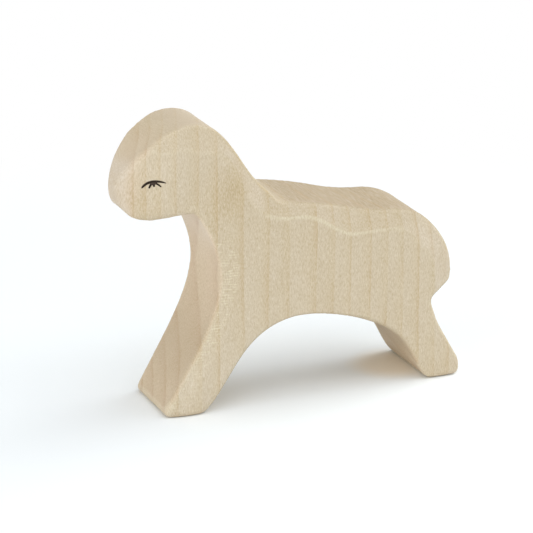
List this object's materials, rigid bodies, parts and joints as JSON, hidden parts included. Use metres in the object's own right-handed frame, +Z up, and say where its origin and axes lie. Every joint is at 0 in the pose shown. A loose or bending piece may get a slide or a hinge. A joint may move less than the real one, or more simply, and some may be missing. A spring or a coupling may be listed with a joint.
{
  "type": "sheep figurine",
  "caption": "Standing sheep figurine sawn from a single maple board, with hand-sanded facets, an arched belly between splayed legs, and closed eyes drawn in ink.",
  "frame": {"origin": "on the ground under the middle of the sheep's length, in the middle plane of the board", "axes": "+X from nose to tail, so the head looks along -X; +Y across the board to the sheep's right; +Z up"},
  "size_m": [0.1096, 0.028, 0.0904],
  "materials": {
    "maple": "raw, sanded smooth",
    "ink": "dark ink soaked into the wood, matt"
  },
  "bodies": {
    "root": {"wooden_body": "maple", "left_eye": "ink", "right_eye": "ink"}
  },
  "joints": []
}
